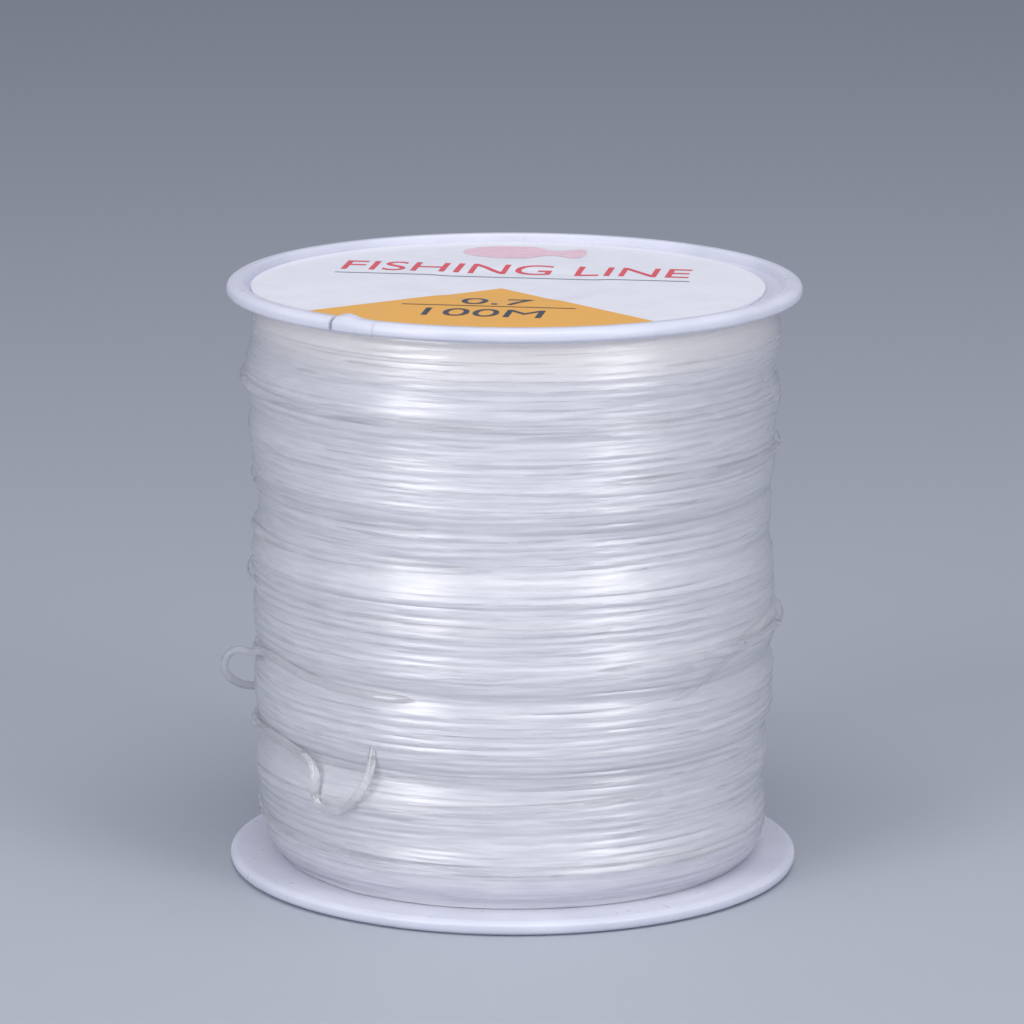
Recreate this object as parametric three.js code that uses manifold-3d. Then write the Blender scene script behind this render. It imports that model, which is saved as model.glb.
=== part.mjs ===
// Fishing line spool: two pressed-on plastic flanges, the hollow barrel between them, the wound
// monofilament, two slack turns of line that stand off the winding, the sprung line catch cut
// into the upper rim, and the round paper label in the upper flange's recess.
// Units are millimetres. +Z is the spool's axis, and the spool stands on the lower flange's rim,
// which is at z = 0. The catch and the front slack turn are on the -Y side.

import * as THREE from 'three';
import { mergeVertices } from 'three/addons/utils/BufferGeometryUtils.js';
import Module from 'manifold-3d';

// Overall size
const SPOOL_HEIGHT = 49;
const FLANGE_RADIUS = 23.5;
const GAP = 0.3; // assembly clearance between neighbouring pieces

// Flange section, measured outward from the face that the winding bears on
const FLANGE_THICKNESS = 1.2;
const WEB_THICKNESS = 0.45;
const EDGE_LOW = 0.26;
const EDGE_HIGH = 0.95;
const EDGE_ROUND = 0.25;
const RIM_FLAT_OUTER = 22.95;
const RIM_FLAT_INNER = 22.2;
const SEAT_RADIUS = 21.9;

// Barrel and the collars that plug into its ends
const BARREL_RADIUS = 10.7;
const BARREL_WALL = 0.9;
const COLLAR_RADIUS = BARREL_RADIUS - BARREL_WALL - GAP;
const COLLAR_WALL = 0.8;
const COLLAR_LENGTH = 5;
const BORE_RADIUS = COLLAR_RADIUS - COLLAR_WALL;
const BORE_CHAMFER = 0.3;

// Paper label
const LABEL_RADIUS = 21;
const LABEL_THICKNESS = 0.15;
const LABEL_OFFSET = -0.53;

// Winding
const LINE_DIAMETER = 0.7;
const WINDING_RADIUS = 20.8;
const WINDING_INNER = BARREL_RADIUS + GAP;
const SHOULDER_HEIGHT = 4.5; // height of each rounded end of the winding
const LOWER_SHOULDER_DROP = 2.4;
const UPPER_SHOULDER_DROP = 0.9;

// Line catch: a tongue in the rim, free at the slit and rooted at the other end
const SLIT_ANGLE = 231.6;
const SLIT_WIDTH = 0.45;
const TONGUE_ANGLE = 9;
const TONGUE_INNER = 21.75;
const LIP_HEIGHT = 0.28;
const LIP_WIDTH = 2.2;

const ROUND_STEPS = 72;
const LINE_SIDES = 8;

// Slack turns of line: [angle about +Z in degrees, distance from the axis, height]
const SIDE_LOOP = [
  [240, 21.45, 18.4], [232, 21.45, 18.5], [224, 21.45, 18.65], [217, 21.45, 18.9],
  [210, 21.45, 19.15], [203, 21.45, 19.25], [197, 21.5, 19.1], [192.5, 21.7, 18.7],
  [189, 22.05, 18.4], [186.2, 22.5, 18.25], [183.8, 23.05, 18], [181.8, 23.55, 17.5],
  [180.4, 23.9, 16.75], [179.2, 23.9, 15.9], [177.4, 23.6, 15.1], [174.8, 23.1, 14.4],
  [171.2, 22.5, 13.8], [166.5, 21.95, 13.35], [161, 21.6, 13.05], [154.5, 21.45, 12.9],
  [147, 21.45, 12.85], [139, 21.45, 12.85],
];
const FRONT_LOOP = [
  [168, 21.45, 11.8], [177.5, 21.45, 12.05], [187, 21.45, 12.3], [195.5, 21.45, 12.6],
  [204.8, 21.45, 12.75], [210.5, 21.45, 12.6], [215.2, 21.47, 12.35], [218.9, 21.55, 12.1],
  [221.4, 21.68, 11.75], [222.9, 21.8, 11.2], [223.35, 21.88, 10.5], [223.2, 21.9, 9.8],
  [223.5, 21.9, 9.15], [225.1, 21.9, 8.6], [227.6, 21.9, 8.4], [230.2, 21.9, 8.5],
  [232.5, 21.9, 8.95], [234.5, 21.88, 9.7], [236.2, 21.85, 10.55], [237.5, 21.8, 11.4],
  [238.1, 21.7, 12.2], [238.3, 21.57, 12.9], [238.4, 21.45, 13.5],
];

const wasm = await Module();
wasm.setup();

const degrees = THREE.MathUtils.degToRad;

const PLASTIC = { color: 0xd9dbe7, roughness: 0.38, metalness: 0 };
const PAPER = { color: 0xdedfeb, roughness: 0.6, metalness: 0 };
const LINE = { color: 0xced0da, roughness: 0.2, metalness: 0 };

// A closed solid from any closed geometry: shared corners merged, slivers dropped, faces out.
function toSolid(geometry) {
  geometry.deleteAttribute('normal');
  geometry.deleteAttribute('uv');
  const merged = mergeVertices(geometry, 1e-5);
  const corners = merged.attributes.position;
  const faces = [];
  let volume = 0;
  const [a, b, c] = [new THREE.Vector3(), new THREE.Vector3(), new THREE.Vector3()];
  for (let i = 0; i < merged.index.count; i += 3) {
    const face = [merged.index.getX(i), merged.index.getX(i + 1), merged.index.getX(i + 2)];
    if (new Set(face).size < 3) continue;
    faces.push(face);
    a.fromBufferAttribute(corners, face[0]);
    b.fromBufferAttribute(corners, face[1]);
    c.fromBufferAttribute(corners, face[2]);
    volume += a.dot(b.cross(c));
  }
  const outward = volume > 0 ? faces : faces.map(([p, q, r]) => [p, r, q]);
  return new wasm.Manifold(new wasm.Mesh({
    numProp: 3,
    vertProperties: new Float32Array(corners.array),
    triVerts: new Uint32Array(outward.flat()),
  }));
}

function toGeometry(solid) {
  const mesh = solid.getMesh();
  const geometry = new THREE.BufferGeometry();
  geometry.setAttribute('position', new THREE.BufferAttribute(mesh.vertProperties, 3));
  geometry.setIndex(new THREE.BufferAttribute(mesh.triVerts, 1));
  geometry.computeVertexNormals();
  return geometry;
}

// Revolves a closed outline of [radius, height] points about +Z.
function revolve(outline, steps = ROUND_STEPS) {
  const points = outline.map(([radius, height]) => new THREE.Vector2(radius, height));
  points.push(points[0].clone());
  return toSolid(new THREE.LatheGeometry(points, steps).rotateX(Math.PI / 2));
}

// A block between two radii and two angles.
function sector(inner, outer, fromAngle, toAngle, low, high) {
  const shape = new THREE.Shape();
  shape.absarc(0, 0, outer, degrees(fromAngle), degrees(toAngle), false);
  shape.absarc(0, 0, inner, degrees(toAngle), degrees(fromAngle), true);
  const options = { depth: high - low, bevelEnabled: false, curveSegments: 8 };
  return toSolid(new THREE.ExtrudeGeometry(shape, options).translate(0, 0, low));
}

const upperFace = SPOOL_HEIGHT - FLANGE_THICKNESS;
const lowerFace = FLANGE_THICKNESS;

// A flange whose bearing face is at a height, with its rim outward of that face (1 for up, -1
// for down) and its collar behind it. The rim stands proud of the web, which leaves the round
// recess that a label sits in.
function flange(faceHeight, outward) {
  const section = [
    [COLLAR_RADIUS, 0],
    [FLANGE_RADIUS - 2 * EDGE_ROUND, 0],
    [FLANGE_RADIUS, EDGE_LOW],
    [FLANGE_RADIUS, EDGE_HIGH - EDGE_ROUND],
    [FLANGE_RADIUS - 0.3 * EDGE_ROUND, EDGE_HIGH],
    [RIM_FLAT_OUTER, FLANGE_THICKNESS],
    [RIM_FLAT_INNER, FLANGE_THICKNESS],
    [SEAT_RADIUS, WEB_THICKNESS],
    [BORE_RADIUS + BORE_CHAMFER, WEB_THICKNESS],
    [BORE_RADIUS, WEB_THICKNESS - BORE_CHAMFER],
    [BORE_RADIUS, -COLLAR_LENGTH],
    [COLLAR_RADIUS - BORE_CHAMFER, -COLLAR_LENGTH],
    [COLLAR_RADIUS, BORE_CHAMFER - COLLAR_LENGTH],
  ];
  return revolve(section.map(([radius, rise]) => [radius, faceHeight + outward * rise]));
}

function barrel() {
  const inner = BARREL_RADIUS - BARREL_WALL;
  const low = lowerFace + GAP;
  const high = upperFace - GAP;
  return revolve([[inner, low], [BARREL_RADIUS, low], [BARREL_RADIUS, high], [inner, high]]);
}

// The catch is cut from the rim: a slot runs round three sides of the tongue, and the tongue's
// free end carries a rounded lip that leads the line into the slit.
const toAngle = (length) => THREE.MathUtils.radToDeg(length / FLANGE_RADIUS);
const slitEnd = SLIT_ANGLE + toAngle(SLIT_WIDTH);
const rootAngle = slitEnd + TONGUE_ANGLE;

function catchSlot() {
  const clear = 1; // how far the cutter runs past the rim on every side
  return sector(
    TONGUE_INNER - GAP, FLANGE_RADIUS + clear, SLIT_ANGLE, rootAngle + toAngle(GAP),
    upperFace - clear, SPOOL_HEIGHT + clear,
  );
}

function lip() {
  const curve = new THREE.Shape();
  const foot = 0.3; // sunk into the tongue so that the two join
  curve.moveTo(0, -foot);
  curve.lineTo(LIP_WIDTH, -foot);
  curve.lineTo(LIP_WIDTH, 0);
  curve.bezierCurveTo(
    LIP_WIDTH * 0.6, 0, LIP_WIDTH * 0.75, LIP_HEIGHT * 1.33, 0.35, LIP_HEIGHT,
  );
  curve.lineTo(0, LIP_HEIGHT * 0.6);
  const length = RIM_FLAT_OUTER - RIM_FLAT_INNER;
  const options = { depth: length, bevelEnabled: false, curveSegments: 6 };
  const ridge = new THREE.ExtrudeGeometry(curve, options);
  // The outline's x runs along the rim, its y runs up, and the ridge's length runs outward.
  const along = degrees(slitEnd) + Math.PI / 2;
  const turn = new THREE.Matrix4().makeBasis(
    new THREE.Vector3(Math.cos(along), Math.sin(along), 0),
    new THREE.Vector3(0, 0, 1),
    new THREE.Vector3(Math.cos(degrees(slitEnd)), Math.sin(degrees(slitEnd)), 0),
  );
  turn.setPosition(
    RIM_FLAT_INNER * Math.cos(degrees(slitEnd)), RIM_FLAT_INNER * Math.sin(degrees(slitEnd)),
    SPOOL_HEIGHT,
  );
  return toSolid(ridge.applyMatrix4(turn));
}


function tongue() {
  const clear = 1;
  const blank = sector(
    TONGUE_INNER, FLANGE_RADIUS + clear, slitEnd, rootAngle, upperFace - clear,
    SPOOL_HEIGHT + clear,
  );
  return flange(upperFace, 1).intersect(blank).add(lip().intersect(blank));
}

function label() {
  const low = upperFace + WEB_THICKNESS + GAP * 0.7;
  const disc = new THREE.CylinderGeometry(LABEL_RADIUS, LABEL_RADIUS, LABEL_THICKNESS, ROUND_STEPS);
  disc.rotateX(Math.PI / 2).translate(LABEL_OFFSET, 0, low + LABEL_THICKNESS / 2);
  return toSolid(disc);
}

// The wound line as one body, with each end rounded over where the outer turns slump.
function winding() {
  const low = lowerFace + GAP;
  const high = upperFace - GAP;
  const shoulderSteps = 5;
  const outline = [[WINDING_INNER, low]];
  for (let i = 0; i <= shoulderSteps; i += 1) {
    const rise = i / shoulderSteps;
    const drop = LOWER_SHOULDER_DROP * (1 - rise) ** 2.2;
    outline.push([WINDING_RADIUS - drop, low + SHOULDER_HEIGHT * rise ** 1.3]);
  }
  for (let i = shoulderSteps; i >= 0; i -= 1) {
    const rise = i / shoulderSteps;
    const drop = UPPER_SHOULDER_DROP * (1 - rise) ** 2.2;
    outline.push([WINDING_RADIUS - drop, high - SHOULDER_HEIGHT * rise ** 1.3]);
  }
  outline.push([WINDING_INNER, high]);
  return revolve(outline, 60);
}

// A slack turn of line: a round section drawn along a smooth curve through the route's points.
function slackTurn(route) {
  const points = route.map(([angle, radius, height]) => new THREE.Vector3(
    radius * Math.cos(degrees(angle)), radius * Math.sin(degrees(angle)), height,
  ));
  const section = new THREE.Shape();
  for (let i = 0; i < LINE_SIDES; i += 1) {
    const turn = (2 * Math.PI * i) / LINE_SIDES;
    const [x, y] = [Math.cos(turn), Math.sin(turn)].map((part) => (part * LINE_DIAMETER) / 2);
    if (i === 0) section.moveTo(x, y);
    else section.lineTo(x, y);
  }
  const path = new THREE.CatmullRomCurve3(points);
  const steps = Math.round(path.getLength() / (2 * LINE_DIAMETER));
  return toSolid(new THREE.ExtrudeGeometry(section, { steps, extrudePath: path }));
}

const spool = new THREE.Group();

function addPiece(name, solid, look) {
  const mesh = new THREE.Mesh(toGeometry(solid), new THREE.MeshStandardMaterial(look));
  mesh.name = name;
  spool.add(mesh);
}

addPiece('lower_flange', flange(lowerFace, -1), PLASTIC);
addPiece('core_barrel', barrel(), PLASTIC);
addPiece('upper_flange', flange(upperFace, 1).subtract(catchSlot()), PLASTIC);
addPiece('line_catch_tongue', tongue(), PLASTIC);
addPiece('top_label', label(), PAPER);
addPiece('line_winding', winding(), LINE);
addPiece('line_loop_side', slackTurn(SIDE_LOOP), LINE);
addPiece('line_loop_front', slackTurn(FRONT_LOOP), LINE);

export default spool;
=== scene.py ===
"""A fishing line spool: two plastic flanges pressed on a barrel, wound full of clear line, with
a printed label in the upper flange and a sprung line catch in its rim."""
import math

import bpy
import numpy as np
from mathutils import Matrix, Vector


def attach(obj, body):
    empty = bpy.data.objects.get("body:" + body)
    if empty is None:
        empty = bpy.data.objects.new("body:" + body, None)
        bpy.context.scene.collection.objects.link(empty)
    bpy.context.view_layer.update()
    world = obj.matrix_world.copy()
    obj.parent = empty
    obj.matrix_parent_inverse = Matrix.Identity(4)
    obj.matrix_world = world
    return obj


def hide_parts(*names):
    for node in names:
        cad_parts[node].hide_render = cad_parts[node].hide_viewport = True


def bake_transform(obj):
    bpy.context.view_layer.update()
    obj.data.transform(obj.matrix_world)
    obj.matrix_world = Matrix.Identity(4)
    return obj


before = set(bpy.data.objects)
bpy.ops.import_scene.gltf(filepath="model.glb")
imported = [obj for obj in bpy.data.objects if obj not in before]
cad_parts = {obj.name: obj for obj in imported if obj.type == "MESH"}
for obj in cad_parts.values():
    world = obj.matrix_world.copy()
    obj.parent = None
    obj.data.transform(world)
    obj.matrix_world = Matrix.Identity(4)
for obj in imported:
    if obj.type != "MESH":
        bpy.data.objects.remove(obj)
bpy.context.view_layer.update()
scene = bpy.context.scene
MM = 0.001
ROUND = 2 * math.pi


# ---------------------------------------------------------------------------------------------
# The studio: a pale matt board, a tall soft box on each side in front of the spool, a broad one
# overhead, and a camera a little above the upper flange. None of it belongs to the spool.

BOARD_SIZE = 1.2
BOARD_COLOUR = (0.44, 0.46, 0.52, 1)
ROOM_COLOUR = (0.27, 0.285, 0.34, 1)
SPOOL_MIDDLE = Vector((0, 0, 0.024))
CAMERA_PLACE = Vector((0, -0.441, 0.1256))
CAMERA_DOWN = math.radians(12.3)
CAMERA_ROLL = math.radians(0.2)
CAMERA_LENS = 192.5
CAMERA_SHIFT = -0.0018


def new_material(name):
    """A node material, with its tree and its shader."""
    material = bpy.data.materials.new(name)
    material.use_nodes = True
    return material, material.node_tree, material.node_tree.nodes["Principled BSDF"]


def set_shader(shader, **values):
    """Sets sockets that are the same all over the surface, such as Base_Color."""
    for socket, value in values.items():
        shader.inputs[socket.replace("_", " ")].default_value = value


def deselect():
    if bpy.context.object and bpy.context.object.mode != "OBJECT":
        bpy.ops.object.mode_set(mode="OBJECT")
    bpy.ops.object.select_all(action="DESELECT")


def pick(piece):
    """Makes this the only selected object."""
    deselect()
    piece.select_set(True)
    bpy.context.view_layer.objects.active = piece


deselect()
bpy.ops.mesh.primitive_plane_add(size=BOARD_SIZE, location=(0, 0, 0))
board = bpy.context.object
board.name = "board"
board_paint, _, board_shader = new_material("board_paint")
set_shader(board_shader, Base_Color=BOARD_COLOUR, Roughness=0.6)
board.data.materials.append(board_paint)

world = bpy.data.worlds.new("room")
world.use_nodes = True
world.node_tree.nodes["Background"].inputs["Color"].default_value = ROOM_COLOUR
scene.world = world
scene.view_settings.view_transform = "Standard"
scene.cycles.max_bounces = 32
scene.cycles.transmission_bounces = 32
scene.cycles.glossy_bounces = 12
scene.cycles.diffuse_bounces = 8


def soft_box(name, azimuth, elevation, distance, width, height, watts):
    """A rectangular soft box that looks at the middle of the spool."""
    lamp = bpy.data.lights.new(name, "AREA")
    lamp.shape = "RECTANGLE"
    lamp.size, lamp.size_y, lamp.energy = width, height, watts
    box = bpy.data.objects.new(name, lamp)
    scene.collection.objects.link(box)
    side, rise = math.radians(azimuth), math.radians(elevation)
    level = math.cos(rise)
    out = Vector((math.sin(side) * level, -math.cos(side) * level, math.sin(rise)))
    box.location = SPOOL_MIDDLE + out * distance
    box.rotation_euler = (-out).to_track_quat("-Z", "Y").to_euler()


soft_box("left_soft_box", -42, 20, 0.5, 0.2, 0.42, 1.17)
soft_box("right_soft_box", 45, 20, 0.5, 0.2, 0.42, 0.95)
soft_box("top_soft_box", 10, 74, 0.6, 0.5, 0.4, 1.85)

camera = bpy.data.objects.new("camera", bpy.data.cameras.new("camera"))
scene.collection.objects.link(camera)
camera.data.sensor_width = 36
camera.data.lens = CAMERA_LENS
camera.data.shift_x = CAMERA_SHIFT
camera.data.clip_start, camera.data.clip_end = 0.01, 5
camera_tilt = Matrix.Rotation(math.pi / 2 - CAMERA_DOWN, 4, "X")
camera_roll = Matrix.Rotation(CAMERA_ROLL, 4, "Z")
camera.matrix_world = Matrix.Translation(CAMERA_PLACE) @ camera_tilt @ camera_roll
scene.camera = camera


# ---------------------------------------------------------------------------------------------
# Lower flange. A thin disc of milky white polystyrene, injection moulded, with a raised rim that
# it stands on and a collar that is pressed into the end of the barrel.

SPOOL_HEIGHT = 49
FLANGE_RADIUS = 23.5
FLANGE_THICK = 1.2
WEB_THICK = 0.45
RIM_OUTER = 22.95
RIM_INNER = 22.2
SEAT_RADIUS = 21.9
COLLAR_RADIUS = 9.5
COLLAR_DEPTH = 5
BORE_RADIUS = 8.7
BORE_CHAMFER = 0.3
EDGE_FOOT = 0.26
EDGE_SIDE = 0.7
EDGE_TOP = 0.95
EDGE_ROUNDING = 0.12
SMOOTH_ANGLE = math.radians(35)
LOWER_FACE = FLANGE_THICK
UPPER_FACE = SPOOL_HEIGHT - FLANGE_THICK
MERGE = 0.002 * MM

milky_plastic, tree, shader = new_material("milky_plastic")
set_shader(shader, Roughness=0.34, Subsurface_Weight=0.35, Subsurface_Scale=0.001)
shader.inputs["Subsurface Radius"].default_value = (1.0, 1.0, 1.15)


def link(tree, source, output, target, socket):
    tree.links.new(source.outputs[output], target.inputs[socket])


def noise_node(tree, scale, detail=3.0, stretch=None):
    """Noise in the piece's own coordinates, at a scale in ripples per metre."""
    place = tree.nodes.new("ShaderNodeTexCoord")
    noise = tree.nodes.new("ShaderNodeTexNoise")
    noise.inputs["Scale"].default_value = scale
    noise.inputs["Detail"].default_value = detail
    if stretch:
        mapping = tree.nodes.new("ShaderNodeMapping")
        mapping.inputs["Scale"].default_value = stretch
        link(tree, place, "Object", mapping, "Vector")
        link(tree, mapping, "Vector", noise, "Vector")
    else:
        link(tree, place, "Object", noise, "Vector")
    return noise


def mottle(tree, noise, dark, light, target, socket="Base Color"):
    """Drives a colour from noise, between two near tones."""
    ramp = tree.nodes.new("ShaderNodeValToRGB")
    ramp.color_ramp.elements[0].position, ramp.color_ramp.elements[1].position = 0.32, 0.68
    ramp.color_ramp.elements[0].color, ramp.color_ramp.elements[1].color = dark, light
    link(tree, noise, "Fac", ramp, "Fac")
    link(tree, ramp, "Color", target, socket)
    return ramp


def spread(tree, noise, low, high, target, socket="Roughness"):
    """Drives a number from noise, between two values."""
    scaled = tree.nodes.new("ShaderNodeMapRange")
    scaled.inputs["From Min"].default_value, scaled.inputs["From Max"].default_value = 0.3, 0.7
    scaled.inputs["To Min"].default_value, scaled.inputs["To Max"].default_value = low, high
    link(tree, noise, "Fac", scaled, "Value")
    link(tree, scaled, "Result", target, socket)


def grain(tree, noise, height, target, strength=0.5):
    """Raises the surface by noise, to a height in metres."""
    bump = tree.nodes.new("ShaderNodeBump")
    bump.inputs["Distance"].default_value = height
    bump.inputs["Strength"].default_value = strength
    link(tree, noise, "Fac", bump, "Height")
    link(tree, bump, "Normal", target, "Normal")
    link(tree, bump, "Normal", target, "Coat Normal")


PLASTIC_DARK, PLASTIC_LIGHT = (0.62, 0.63, 0.73, 1), (0.69, 0.70, 0.80, 1)
mottle(tree, noise_node(tree, 160), PLASTIC_DARK, PLASTIC_LIGHT, shader)
spread(tree, noise_node(tree, 700), 0.27, 0.42, shader)
grain(tree, noise_node(tree, 900, 1.0), 0.000012, shader, 0.4)


def spun(name, outline, angle=ROUND, start=0.0, steps=160, capped=False):
    """Draws a section point by point, in millimetres of radius and height, and spins it about
    the spool's axis from the start angle."""
    deselect()
    bpy.ops.mesh.primitive_plane_add(size=MM, location=(0, 0, 0))
    piece = bpy.context.object
    piece.name = name
    bpy.ops.object.mode_set(mode="EDIT")
    bpy.ops.mesh.merge(type="CENTER")
    bpy.ops.transform.translate(value=Vector((outline[0][0], 0, outline[0][1])) * MM)
    for (r0, z0), (r1, z1) in zip(outline, outline[1:] + outline[:1]):
        stride = Vector((r1 - r0, 0, z1 - z0)) * MM
        bpy.ops.mesh.extrude_vertices_move(TRANSFORM_OT_translate={"value": stride})
    bpy.ops.mesh.select_all(action="SELECT")
    bpy.ops.mesh.remove_doubles(threshold=MERGE)
    if capped:
        bpy.ops.mesh.edge_face_add()
    bpy.ops.mesh.select_all(action="SELECT")
    bpy.ops.mesh.spin(steps=steps, angle=-angle, center=(0, 0, 0), axis=(0, 0, 1))
    bpy.ops.mesh.select_all(action="SELECT")
    bpy.ops.mesh.remove_doubles(threshold=MERGE)
    bpy.ops.mesh.normals_make_consistent(inside=False)
    bpy.ops.object.mode_set(mode="OBJECT")
    piece.rotation_euler.z = start
    bpy.ops.object.transform_apply(rotation=True)
    return piece


def round_edges(piece, width, segments=3):
    """Rounds the moulded edges and shades the piece smooth between them."""
    pick(piece)
    rounding = piece.modifiers.new("rounding", "BEVEL")
    rounding.width = width * MM
    rounding.segments = segments
    rounding.limit_method = "ANGLE"
    rounding.angle_limit = math.radians(22)
    bpy.ops.object.modifier_apply(modifier="rounding")
    bpy.ops.object.shade_smooth_by_angle(angle=SMOOTH_ANGLE)


def flange_outline(face, outward):
    """A flange's section: bearing face, edge, rim, label seat, bore and collar."""
    section = [
        (COLLAR_RADIUS, 0), (FLANGE_RADIUS - 0.5, 0), (FLANGE_RADIUS, EDGE_FOOT),
        (FLANGE_RADIUS, EDGE_SIDE), (FLANGE_RADIUS - 0.1, EDGE_TOP), (RIM_OUTER, FLANGE_THICK),
        (RIM_INNER, FLANGE_THICK), (SEAT_RADIUS, WEB_THICK),
        (BORE_RADIUS + BORE_CHAMFER, WEB_THICK), (BORE_RADIUS, WEB_THICK - BORE_CHAMFER),
        (BORE_RADIUS, -COLLAR_DEPTH), (COLLAR_RADIUS - BORE_CHAMFER, -COLLAR_DEPTH),
        (COLLAR_RADIUS, BORE_CHAMFER - COLLAR_DEPTH),
    ]
    return [(radius, face + outward * rise) for radius, rise in section]


def dress(piece, material, slot, body, *nodes):
    """Gives a piece its material, its body and the CAD nodes that it stands for. The slot is not
    used. A piece that bends between two bodies has no body of its own."""
    piece.data.materials.clear()
    piece.data.materials.append(material)
    if body:
        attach(piece, body)
    if nodes:
        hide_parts(*nodes)


lower_flange = spun("lower_flange_moulding", flange_outline(LOWER_FACE, -1))
round_edges(lower_flange, EDGE_ROUNDING)
dress(lower_flange, milky_plastic, "spool_plastic", "spool", "lower_flange")


# ---------------------------------------------------------------------------------------------
# Barrel. A plain tube of the same plastic that holds the two flanges apart. The line is wound on
# its outside, and a spindle goes through the bores of the collars in its ends.

BARREL_RADIUS = 10.7
BARREL_WALL = 0.9
FIT_GAP = 0.3

barrel_inner = BARREL_RADIUS - BARREL_WALL
barrel_low, barrel_high = LOWER_FACE + FIT_GAP, UPPER_FACE - FIT_GAP
barrel = spun("barrel_tube", [
    (barrel_inner, barrel_low), (BARREL_RADIUS, barrel_low),
    (BARREL_RADIUS, barrel_high), (barrel_inner, barrel_high),
], steps=96)
round_edges(barrel, 0.15)
dress(barrel, milky_plastic, "spool_plastic", "spool", "core_barrel")


# ---------------------------------------------------------------------------------------------
# Upper flange. The same moulding the other way up. Its rim is slotted round three sides of a
# short tongue, and the seat inside the rim takes the label.

SLIT_ANGLE = 231.6
SLIT_WIDTH = 0.3
TONGUE_ANGLE = 9.37
TONGUE_INNER = 21.75
TONGUE_GAP = 0.12

slit_end = SLIT_ANGLE + math.degrees(SLIT_WIDTH / FLANGE_RADIUS)
root_angle = slit_end + TONGUE_ANGLE
upper_flange = spun("upper_flange_moulding", flange_outline(UPPER_FACE, 1))
round_edges(upper_flange, EDGE_ROUNDING)

slot_inner, slot_outer = TONGUE_INNER - TONGUE_GAP, FLANGE_RADIUS + 1
slot_low, slot_high = UPPER_FACE - 1, SPOOL_HEIGHT + 1
cutter = spun("slot_cutter", [
    (slot_inner, slot_low), (slot_outer, slot_low),
    (slot_outer, slot_high), (slot_inner, slot_high),
], math.radians(root_angle - SLIT_ANGLE), math.radians(SLIT_ANGLE), steps=12, capped=True)
pick(upper_flange)
slotting = upper_flange.modifiers.new("slot", "BOOLEAN")
slotting.operation = "DIFFERENCE"
slotting.object = cutter
bpy.ops.object.modifier_apply(modifier="slot")
bpy.ops.object.shade_smooth_by_angle(angle=SMOOTH_ANGLE)
bpy.data.objects.remove(cutter)
dress(upper_flange, milky_plastic, "spool_plastic", "spool", "upper_flange")


# ---------------------------------------------------------------------------------------------
# Line catch. The tongue is moulded with the upper flange and springs up from its root, so that
# the end of the line can be pulled under its raised lip and is gripped in the slit.

LIP_HEIGHT = 0.3
LIP_CREST = 0.9
LIP_LENGTH = 1.05

tongue = spun("catch_tongue", [
    (TONGUE_INNER, UPPER_FACE), (FLANGE_RADIUS - 0.5, UPPER_FACE),
    (FLANGE_RADIUS, UPPER_FACE + EDGE_FOOT), (FLANGE_RADIUS, UPPER_FACE + EDGE_SIDE),
    (FLANGE_RADIUS - 0.1, UPPER_FACE + EDGE_TOP), (RIM_OUTER, SPOOL_HEIGHT),
    (RIM_INNER, SPOOL_HEIGHT), (TONGUE_INNER, UPPER_FACE + WEB_THICK + 0.3),
], angle=math.radians(TONGUE_ANGLE), start=math.radians(slit_end), steps=24, capped=True)
pick(tongue)
bpy.ops.object.mode_set(mode="EDIT")
bpy.ops.mesh.select_all(action="SELECT")
bpy.ops.mesh.subdivide(number_cuts=1)
bpy.ops.object.mode_set(mode="OBJECT")
for corner in tongue.data.vertices:
    out = math.hypot(corner.co.x, corner.co.y) / MM
    turn = math.degrees(math.atan2(corner.co.y, corner.co.x)) % 360 - slit_end
    along = math.radians(turn) * FLANGE_RADIUS
    rise = (corner.co.z / MM - UPPER_FACE) / FLANGE_THICK
    inward = min(1, max(0, (FLANGE_RADIUS - out) / (FLANGE_RADIUS - RIM_INNER)))
    hump = math.exp(-((along - LIP_CREST) / LIP_LENGTH) ** 2)
    corner.co.z += LIP_HEIGHT * MM * hump * inward * rise
round_edges(tongue, 0.07, 2)
dress(tongue, milky_plastic, "spool_plastic", None, "line_catch_tongue")


def rim_point(angle, radius=22.6, height=SPOOL_HEIGHT - FLANGE_THICK / 2):
    turn = math.radians(angle)
    return Vector((radius * math.cos(turn), radius * math.sin(turn), height)) * MM


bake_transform(tongue)


# ---------------------------------------------------------------------------------------------
# The wound line. Clear nylon monofilament, machine wound from flange to flange and back. Each turn
# rests on those below it and is taut, so that it bridges the hollows. The inner turns read as one
# milky body, and the outer ones are strands.

LINE = 0.7
CELL = 0.07
BINS = 72
PITCH = 0.72
FULL_LAYERS = 15
WIND_LOW, WIND_HIGH = LOWER_FACE + 0.05, UPPER_FACE - 0.05
SHOULDERS = {11: (0.5, 0), 12: (1.4, 0), 13: (2.6, 0.2)}
TOP_BANDS = ((46.8, 33.8), (27.0, 20.2), (17.7, 13.9))
BAND_PITCH = 0.745
TUCK = 1.8
TUCK_BINS = 10
FILLET_CELLS = 28
FILLET_FALL = 0.0008
SMOOTHED_CELLS = 4
GROUND_SHARE = 0.07
SKIN_STEP = 2
FILL = 0.014
RIPPLE = 0.02
SETTLE = 0.2
LOOSE_TURNS = 10
CROSSING_TURN = ((284, 17.7), (298, 17.5), (304.5, 17.5), (311.5, 18.3), (319.4, 19.9),
                 (330, 21.6), (347.8, 22.5), (366, 22.7), (384, 22.6))

rng = np.random.default_rng(7)
cells = int(round((WIND_HIGH - WIND_LOW) / CELL)) + 1
ground = np.full((BINS, cells), float(BARREL_RADIUS))
reach = np.arange(-int(LINE / 2 / CELL), int(LINE / 2 / CELL) + 1)
crown = np.sqrt(np.maximum((LINE / 2) ** 2 - (reach * CELL) ** 2, 0))


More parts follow.
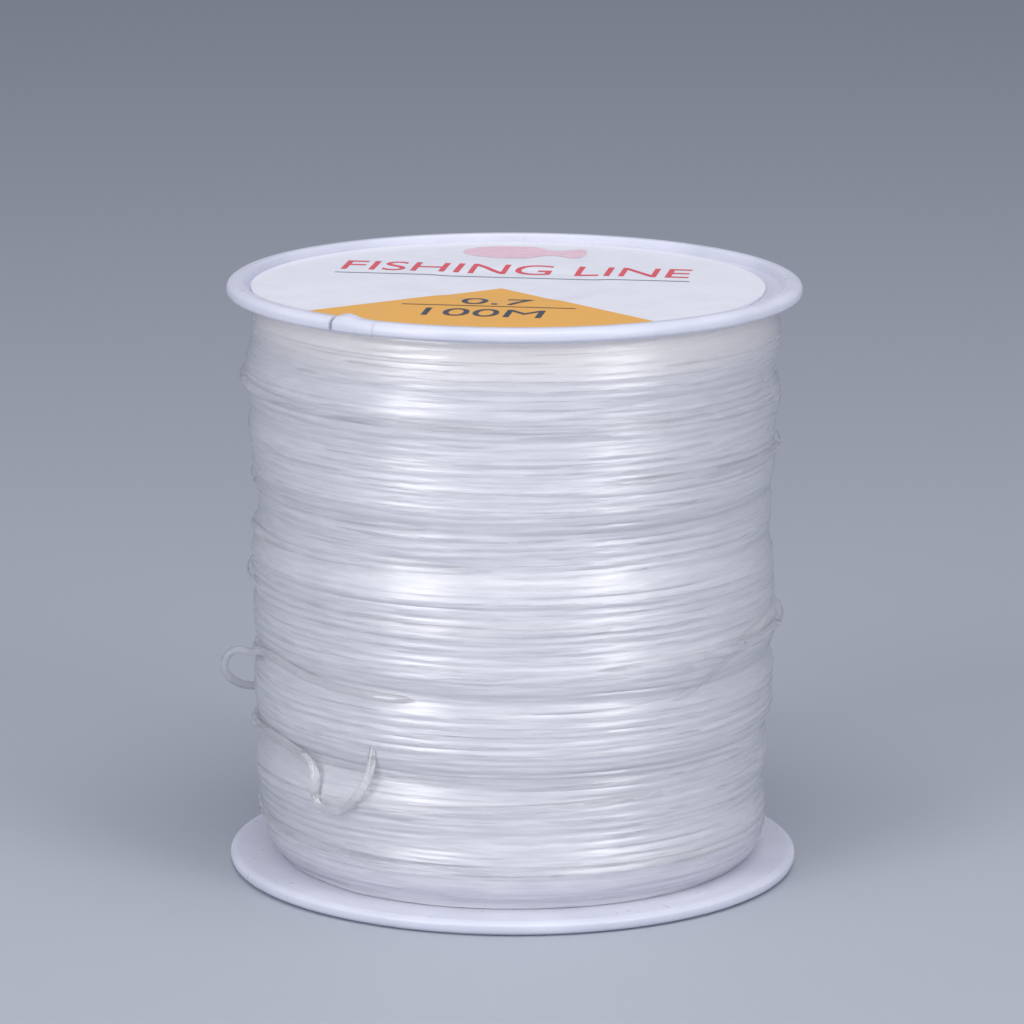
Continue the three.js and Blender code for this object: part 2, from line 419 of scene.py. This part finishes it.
def lay_line(heights, first_bin):
    """Lays line over the ground at these heights, one for each bin in turn, and gives its
    distance from the axis at each."""
    radii = np.zeros(len(heights))
    for a in range(0, len(heights), BINS):
        z = heights[a:a + BINS]
        bins = (first_bin + a + np.arange(len(z))) % BINS
        middle = np.rint((z - WIND_LOW) / CELL).astype(int)
        under = np.clip(middle[:, None] + reach[None], 0, cells - 1)
        rest = (ground[bins[:, None], under] + crown[None]).max(1)
        lie = rest.copy()
        for _ in range(6):
            taut = lie.copy()
            taut[1:-1] = (lie[:-2] + lie[2:]) / 2
            lie = np.maximum(rest, taut)
        radii[a:a + BINS] = lie
        np.maximum.at(ground, (bins[:, None], under), lie[:, None] + crown[None])
    return radii


def wandering(count, amount, knot):
    """A smooth random drift, with one knot every so many bins."""
    knots = rng.normal(0, amount, count // knot + 4)
    at = np.arange(count) / knot + 1
    low = np.floor(at).astype(int)
    part = at - low
    before, here, after, last = (knots[low + k] for k in (-1, 0, 1, 2))
    return here + 0.5 * part * (after - before + part * (
        2 * before - 5 * here + 4 * after - last + part * (3 * (here - after) + last - before)))


def tucked(radii):
    """Sinks both ends of a run of line under the turns beside it."""
    ends = np.minimum(np.arange(len(radii)), np.arange(len(radii))[::-1]) / TUCK_BINS
    return radii - TUCK * np.maximum(0, 1 - ends) ** 2


def strand(name, parts):
    """Round line along a run of (radii, heights, first bin) parts, as a mesh."""
    curve = bpy.data.curves.new(name, "CURVE")
    curve.dimensions = "3D"
    curve.bevel_depth = LINE / 2 * MM
    curve.bevel_resolution = 2
    curve.use_fill_caps = True
    for radii, heights, first in parts:
        angles = (first + np.arange(len(radii))) * ROUND / BINS
        across, back = radii * np.cos(angles), radii * np.sin(angles)
        points = np.stack([across, back, heights, np.full(len(radii), 1 / MM)], 1) * MM
        spline = curve.splines.new("POLY")
        spline.points.add(len(points) - 1)
        spline.points.foreach_set("co", points.ravel())
    piece = bpy.data.objects.new(name, curve)
    scene.collection.objects.link(piece)
    pick(piece)
    bpy.ops.object.convert(target="MESH")
    piece = bpy.context.object
    bpy.ops.object.shade_smooth()
    return piece


def wound_body(name, surface):
    """The inner turns as one closed ring, whose outside follows the ground they make."""
    rows = surface[:, ::SKIN_STEP]
    heights = WIND_LOW + CELL * SKIN_STEP * np.arange(rows.shape[1])
    size = rows.shape[1] + 2
    points, faces = [], []
    inside = BARREL_RADIUS + 0.05
    for number, row in enumerate(rows):
        angle = number * ROUND / BINS
        section = list(zip(row, heights)) + [(inside, heights[-1]), (inside, heights[0])]
        points += [(r * math.cos(angle) * MM, r * math.sin(angle) * MM, z * MM)
                   for r, z in section]
        here, after = number * size, (number + 1) % BINS * size
        for k in range(size):
            m = (k + 1) % size
            faces.append((here + k, after + k, after + m, here + m))
    mesh = bpy.data.meshes.new(name)
    mesh.from_pydata(points, [], faces)
    piece = bpy.data.objects.new(name, mesh)
    scene.collection.objects.link(piece)
    pick(piece)
    bpy.ops.object.shade_smooth_by_angle(angle=math.radians(60))
    return piece


clear_line, tree, shader = new_material("clear_nylon")
set_shader(shader, IOR=1.12, Transmission_Weight=0.93, Coat_Weight=0.4, Coat_IOR=1.5)
mottle(tree, noise_node(tree, 80), (0.96, 0.96, 0.98, 1), (1, 1, 1, 1), shader)
spread(tree, noise_node(tree, 500), 0.05, 0.12, shader)
spread(tree, noise_node(tree, 220), 0.10, 0.22, shader, "Coat Roughness")

slack_line, tree, shader = new_material("slack_nylon")
set_shader(shader, IOR=1.3, Transmission_Weight=0.83, Coat_Weight=0.8, Coat_IOR=1.6,
           Coat_Roughness=0.04)
mottle(tree, noise_node(tree, 120), (0.93, 0.93, 0.97, 1), (1, 1, 1, 1), shader)
spread(tree, noise_node(tree, 500), 0.02, 0.06, shader)

# Heights in millimetres between which painted light is laid on the top turns.
PAINTED_LIGHT_LOW, PAINTED_LIGHT_HIGH = 43.5, 47.5
milky_line, tree, shader = new_material("packed_nylon")
set_shader(shader, Coat_Weight=1.0, Coat_IOR=1.6)
streaks = noise_node(tree, 300, 5.0, stretch=(1, 1, 9))
milk = mottle(tree, streaks, (0.635, 0.64, 0.695, 1), (0.74, 0.74, 0.79, 1), shader)
# Painted shade: the base colour is mixed towards a darker grey where the surface turns away from
# the camera, standing in for the darker edges of the translucent pack.
limb = tree.nodes.new("ShaderNodeLayerWeight")
limb.inputs["Blend"].default_value = 0.28
painted_edge_shade = tree.nodes.new("ShaderNodeMix")
painted_edge_shade.data_type = "RGBA"
painted_edge_shade.inputs[7].default_value = (0.38, 0.395, 0.445, 1)
link(tree, limb, "Facing", painted_edge_shade, 0)
# Painted light: from 43.5 mm up to 47.5 mm the base colour is mixed towards a warm near-white. It
# stands in for light that comes through the upper flange and label onto the top turns, and it
# lightens the shadow under the rim.
place = tree.nodes.new("ShaderNodeTexCoord")
level = tree.nodes.new("ShaderNodeSeparateXYZ")
link(tree, place, "Object", level, "Vector")
near_label = tree.nodes.new("ShaderNodeMapRange")
near_label.inputs["From Min"].default_value = PAINTED_LIGHT_LOW * MM
near_label.inputs["From Max"].default_value = PAINTED_LIGHT_HIGH * MM
link(tree, level, "Z", near_label, "Value")
painted_top_light = tree.nodes.new("ShaderNodeMix")
painted_top_light.data_type = "RGBA"
painted_top_light.inputs[7].default_value = (0.97, 0.93, 0.90, 1)
link(tree, near_label, "Result", painted_top_light, 0)
link(tree, milk, "Color", painted_top_light, 6)
link(tree, painted_top_light, 2, painted_edge_shade, 6)
link(tree, painted_edge_shade, 2, shader, "Base Color")
spread(tree, noise_node(tree, 90, 3.0, stretch=(1, 1, 16)), 0.26, 0.42, shader)
spread(tree, noise_node(tree, 70, 3.0, stretch=(1, 1, 20)), 0.16, 0.34, shader, "Coat Roughness")
grain(tree, streaks, 0.00011, shader, 0.8)

outer_turns, top_turns, loose_turns = [], [], []
next_bin = 0
for layer in range(FULL_LAYERS):
    drop_low, drop_high = SHOULDERS.get(layer, (0, 0))
    ends = [WIND_LOW + LINE / 2 + drop_low, WIND_HIGH - LINE / 2 - drop_high]
    if layer % 2:
        ends.reverse()
    count = int(abs(ends[1] - ends[0]) / PITCH * BINS)
    heights = np.linspace(ends[0], ends[1], count) + wandering(count, 0.03, 26)
    heights = np.clip(heights, WIND_LOW + LINE / 2, WIND_HIGH - LINE / 2)
    radii = lay_line(heights, next_bin)
    last_turns = (radii, heights, next_bin)
    next_bin = (next_bin + count) % BINS

covered = np.zeros(len(last_turns[1]), bool)
for band_high, band_low in TOP_BANDS:
    covered |= (last_turns[1] < band_high - LINE) & (last_turns[1] > band_low + LINE)
edges = np.flatnonzero(np.diff(np.concatenate([[True], covered, [True]]).astype(int)))
for begin, end in zip(edges[::2], edges[1::2]):
    if end - begin > 3 * TUCK_BINS:
        first = (last_turns[2] + begin) % BINS
        outer_turns.append((tucked(last_turns[0][begin:end]), last_turns[1][begin:end], first))

for band_high, band_low in TOP_BANDS:
    count = int((band_high - band_low) / BAND_PITCH * BINS)
    heights = np.linspace(band_high, band_low, count) + wandering(count, 0.04, 30)
    radii = lay_line(heights, next_bin)
    top_turns.append((tucked(radii), heights, next_bin))
    next_bin = (next_bin + count) % BINS


def shifted(rows, shift):
    """The rows moved along the spool by this many cells, with their end values repeated."""
    return rows[:, np.clip(np.arange(cells) - shift, 0, cells - 1)]


skin = ground.copy()
for shift in range(-FILLET_CELLS, FILLET_CELLS + 1):
    skin = np.maximum(skin, shifted(ground, shift) - FILLET_FALL * shift * shift)
nearby = range(-SMOOTHED_CELLS, SMOOTHED_CELLS + 1)
skin = sum(shifted(skin, shift) for shift in nearby) / len(nearby)
lowest_skin = BARREL_RADIUS + 8
grooved = np.minimum(skin, np.maximum(ground, lowest_skin))
skin = grooved * GROUND_SHARE + skin * (1 - GROUND_SHARE) - FILL
ripple = rng.normal(0, 1, ground.shape)
beside = (-1, 0, 1)
ripple = sum(np.roll(ripple, (turn, shift), (0, 1)) for turn in beside for shift in beside)
skin += RIPPLE * ripple / ripple.std()

bin_angle = 360 / BINS
route_angles, route_heights = zip(*CROSSING_TURN)
route_bins = np.arange(round(route_angles[0] / bin_angle), round(route_angles[-1] / bin_angle) + 1)
crossing = [(route_bins[0], np.interp(route_bins * bin_angle, route_angles, route_heights))]
for low in np.linspace(5, 41, LOOSE_TURNS):
    count = int(rng.uniform(26, 66))
    rise = rng.uniform(0.35, 1.7) * rng.choice([-1, 1])
    part = np.linspace(0, 1, count)
    first = int(rng.integers(0, BINS))
    heights = low + rng.uniform(-1, 1) + rise * part * part * (3 - 2 * part)
    crossing.append((first, heights))
for first, heights in crossing:
    radii = lay_line(heights, first)
    loose_turns.append((tucked(radii - SETTLE), heights, first))

inner_body = wound_body("line_inner_turns", skin)
dress(inner_body, milky_line, "clear_line", "spool", "line_winding")
outer_strands = strand("line_outer_turns", outer_turns)
dress(outer_strands, clear_line, "clear_line", "spool")
top_strands = strand("line_top_turns", top_turns + loose_turns)
dress(top_strands, clear_line, "clear_line", "spool")


# ---------------------------------------------------------------------------------------------
# Slack turns. Two of the last turns have slipped off tension: one stands off the side in a small
# eye, and one hangs in a U on the lower front. Each leaves the winding and goes back into it.

SIDE_TUCKS = [(255, 20.2, 18.25), (248, 20.95, 18.35)], [(131, 20.95, 12.85), (124, 20.2, 12.85)]
SIDE_LOOP = [
    (240, 21.45, 18.4), (232, 21.45, 18.5), (224, 21.45, 18.65), (217, 21.45, 18.9),
    (210, 21.45, 19.15), (203, 21.45, 19.25), (197, 21.5, 19.1), (192.5, 21.7, 18.7),
    (189, 22.05, 18.4), (186.2, 22.5, 18.25), (183.8, 23.05, 18), (181.8, 23.55, 17.5),
    (180.4, 23.9, 16.75), (179.2, 23.9, 15.9), (177.4, 23.6, 15.1), (174.8, 23.1, 14.4),
    (171.2, 22.5, 13.8), (166.5, 21.95, 13.35), (161, 21.6, 13.05), (154.5, 21.45, 12.9),
    (147, 21.45, 12.85), (139, 21.45, 12.85),
]
FRONT_TUCKS = [(153, 20.2, 11.4), (160, 20.95, 11.6)], [(238.5, 21.15, 14.2), (239.2, 20.4, 15)]
FRONT_LOOP = [
    (168, 21.45, 11.8), (177.5, 21.45, 12.05), (187, 21.45, 12.3), (195.5, 21.45, 12.6),
    (204.8, 21.45, 12.75), (210.5, 21.45, 12.6), (215.2, 21.47, 12.35), (218.9, 21.55, 12.1),
    (221.4, 21.68, 11.75), (222.9, 21.8, 11.2), (223.35, 21.88, 10.5), (223.2, 21.9, 9.8),
    (223.5, 21.9, 9.15), (225.1, 21.9, 8.6), (227.6, 21.9, 8.4), (230.2, 21.9, 8.5),
    (232.5, 21.9, 8.95), (234.5, 21.88, 9.7), (236.2, 21.85, 10.55), (237.5, 21.8, 11.4),
    (238.1, 21.7, 12.2), (238.3, 21.57, 12.9), (238.4, 21.45, 13.5),
]


def slack_turn(name, route, tucks, node):
    """A length of line drawn smoothly through the route's points, with its ends tucked under
    the turns beside it."""
    whole = tucks[0] + route + tucks[1]
    curve = bpy.data.curves.new(name, "CURVE")
    curve.dimensions = "3D"
    curve.twist_mode = "MINIMUM"
    curve.bevel_depth = LINE / 2 * MM
    curve.bevel_resolution = 8
    curve.resolution_u = 6
    curve.use_fill_caps = True
    spline = curve.splines.new("BEZIER")
    spline.bezier_points.add(len(whole) - 1)
    for point, (angle, radius, height) in zip(spline.bezier_points, whole):
        point.co = rim_point(angle, radius, height)
        point.handle_left_type = point.handle_right_type = "AUTO"
    piece = bpy.data.objects.new(name, curve)
    scene.collection.objects.link(piece)
    dress(piece, slack_line, "clear_line", "spool", node)


slack_turn("slack_turn_side", SIDE_LOOP, SIDE_TUCKS, "line_loop_side")
slack_turn("slack_turn_front", FRONT_LOOP, FRONT_TUCKS, "line_loop_front")


# ---------------------------------------------------------------------------------------------
# Label. A round of coated white paper stuck in the upper flange's seat, a little off centre. It
# sinks slightly over the hub's bore. An orange panel is printed on its front.

LABEL_RADIUS = 21
LABEL_THICK = 0.2
LABEL_TOP = 48.48
LABEL_SHIFT = -0.53
LABEL_TURN = math.radians(-8)
SAG = 0.08
PANEL_APEX = (-0.3, -1.5)
PANEL_SLOPE = math.tan(math.radians(43.5))
PAPER_WHITE, PAPER_SHADE = (0.93, 0.93, 1, 1), (0.90, 0.905, 0.985, 1)
PANEL_ORANGE = (0.96, 0.47, 0.05, 1)


def label_height(x, y):
    """The height of the label's face, with its sag over the bore."""
    out = math.hypot(x, y)
    part = min(1, max(0, (out - 6.6) / 2.2))
    return LABEL_TOP - SAG * (1 - part * part * (3 - 2 * part))


face_rings = [0.05, 3, 5.5, 6.5, 6.8, 7.1, 7.4, 7.7, 8, 8.3, 8.6, 8.9, 11, 14, 17, 19.5, 20.7,
              LABEL_RADIUS]
face = [(ring, LABEL_TOP) for ring in face_rings]
back = [(ring, LABEL_TOP - LABEL_THICK) for ring in (LABEL_RADIUS, 9, 0.05)]
label = spun("label_paper", face + back, steps=128)
pick(label)
bpy.ops.object.mode_set(mode="EDIT")
bpy.ops.mesh.select_all(action="SELECT")
bpy.ops.mesh.remove_doubles(threshold=0.11 * MM)
bpy.ops.mesh.normals_make_consistent(inside=False)
bpy.ops.object.mode_set(mode="OBJECT")
for corner in label.data.vertices:
    x, y = corner.co.x / MM, corner.co.y / MM
    corner.co.z += (label_height(x, y) - LABEL_TOP) * MM
    corner.co.x += LABEL_SHIFT * MM * min(1, max(0, (math.hypot(x, y) - 11) / 8))
bpy.ops.object.shade_smooth_by_angle(angle=SMOOTH_ANGLE)

printed_paper, tree, shader = new_material("printed_paper")
set_shader(shader, Coat_Weight=0.35, Coat_Roughness=0.14)
paper_colour = mottle(tree, noise_node(tree, 900), PAPER_SHADE, PAPER_WHITE, shader)
spread(tree, noise_node(tree, 400), 0.38, 0.5, shader)
grain(tree, noise_node(tree, 1500), 0.00003, shader, 0.35)


def panel_mask(tree):
    """1 on the orange panel: a wide roof shape that opens towards the label's front edge."""
    place = tree.nodes.new("ShaderNodeTexCoord")
    onto_label = tree.nodes.new("ShaderNodeMapping")
    centre = Matrix.Rotation(-LABEL_TURN, 3, "Z") @ Vector((LABEL_SHIFT, 0, 0))
    apex = Vector((PANEL_APEX[0], PANEL_APEX[1], 0))
    onto_label.inputs["Location"].default_value = -(centre + apex) * MM
    onto_label.inputs["Rotation"].default_value = (0, 0, -LABEL_TURN)
    parts = tree.nodes.new("ShaderNodeSeparateXYZ")
    link(tree, place, "Object", onto_label, "Vector")
    link(tree, onto_label, "Vector", parts, "Vector")

    def sum_node(operation, first, second):
        node = tree.nodes.new("ShaderNodeMath")
        node.operation = operation
        for socket, value in zip(node.inputs, (first, second)):
            if isinstance(value, float):
                socket.default_value = value
            else:
                tree.links.new(value, socket)
        return node.outputs["Value"]

    across = sum_node("ABSOLUTE", parts.outputs["X"], 0.0)
    fall = sum_node("MULTIPLY", across, PANEL_SLOPE)
    return sum_node("LESS_THAN", sum_node("ADD", fall, parts.outputs["Y"]), 0.0)


panel = tree.nodes.new("ShaderNodeMix")
panel.data_type = "RGBA"
panel.inputs[7].default_value = PANEL_ORANGE
tree.links.new(panel_mask(tree), panel.inputs[0])
tree.links.new(paper_colour.outputs["Color"], panel.inputs[6])
tree.links.new(panel.outputs[2], shader.inputs["Base Color"])
dress(label, printed_paper, "label_paper", "spool", "top_label")


# ---------------------------------------------------------------------------------------------
# Print on the label. Thin ink, lying on the paper: a plain red title over a fine rule, a pale
# fish, and the line's thickness and length in dark ink on the orange panel.

INK_THICK = 0.02
INKS = {
    "red_ink": (0.72, 0.085, 0.11, 1), "dark_ink": (0.04, 0.055, 0.085, 1),
    "pale_ink": (0.80, 0.56, 0.64, 1), "rule_ink": (0.20, 0.23, 0.31, 1),
}
ink_looks = {}
for ink, colour in INKS.items():
    ink_looks[ink], tree, shader = new_material(ink)
    faded = tuple(min(1, part * 1.12 + 0.01) for part in colour[:3]) + (1,)
    mottle(tree, noise_node(tree, 1200), colour, faded, shader)
    spread(tree, noise_node(tree, 800), 0.35, 0.5, shader)


def set_print(piece, ink, x, y, width, height):
    """Fits a flat mesh into a box on the label, gives it a skin of ink, and lays it on the
    paper."""
    low = Vector((min(c.co[k] for c in piece.data.vertices) for k in (0, 1, 2)))
    high = Vector((max(c.co[k] for c in piece.data.vertices) for k in (0, 1, 2)))
    pick(piece)
    bpy.ops.object.mode_set(mode="EDIT")
    bpy.ops.mesh.select_all(action="SELECT")
    bpy.ops.mesh.remove_doubles(threshold=1e-6)
    bpy.ops.mesh.quads_convert_to_tris()
    bpy.ops.mesh.subdivide(number_cuts=5)
    bpy.ops.object.mode_set(mode="OBJECT")
    turn = Matrix.Rotation(LABEL_TURN, 3, "Z")
    for corner in piece.data.vertices:
        at_x = x + ((corner.co.x - low.x) / (high.x - low.x) - 0.5) * width
        at_y = y + ((corner.co.y - low.y) / (high.y - low.y) - 0.5) * height
        spot = turn @ Vector((at_x, at_y, 0)) + Vector((LABEL_SHIFT, 0, 0))
        spot.z = label_height(spot.x, spot.y) + INK_THICK
        corner.co = spot * MM
    dress(piece, ink_looks[ink], "label_paper", "spool")


def printed_word(name, words, ink, x, y, width, height):
    deselect()
    bpy.ops.object.text_add(location=(0, 0, 0))
    piece = bpy.context.object
    piece.name = name
    piece.data.body = words
    piece.data.resolution_u = 6
    bpy.ops.object.convert(target="MESH")
    set_print(bpy.context.object, ink, x, y, width, height)


def printed_rule(name, ink, x, y, width, height):
    deselect()
    bpy.ops.mesh.primitive_grid_add(x_subdivisions=24, y_subdivisions=1, size=1)
    bpy.context.object.name = name
    set_print(bpy.context.object, ink, x, y, width, height)


printed_word("print_title", "FISHING LINE", "red_ink", -0.3, 7.3, 29, 4.2)
printed_rule("print_title_rule", "rule_ink", -0.25, 3.6, 29.5, 0.28)
printed_word("print_thickness", "0.7", "dark_ink", 0.25, -8.0, 5.7, 3.0)
printed_rule("print_size_rule", "dark_ink", -0.1, -10.3, 14, 0.24)
printed_word("print_length", "100M", "dark_ink", -0.1, -13.3, 9.6, 3.3)

deselect()
bpy.ops.mesh.primitive_circle_add(vertices=48, radius=1, fill_type="NGON")
fish = bpy.context.object
fish.name = "print_fish"
bpy.ops.object.mode_set(mode="EDIT")
bpy.ops.transform.resize(value=(1.6, 0.8, 1))
bpy.ops.object.mode_set(mode="OBJECT")
for corner in fish.data.vertices:
    tail = max(0, (corner.co.x - 0.7) / 0.9)
    if tail > 0:
        corner.co.x += 0.8 * tail
        corner.co.y *= 1 - 0.75 * math.sin(math.pi * min(1, tail)) + 1.6 * tail ** 2
set_print(fish, "pale_ink", -0.8, 15.6, 10.5, 6)
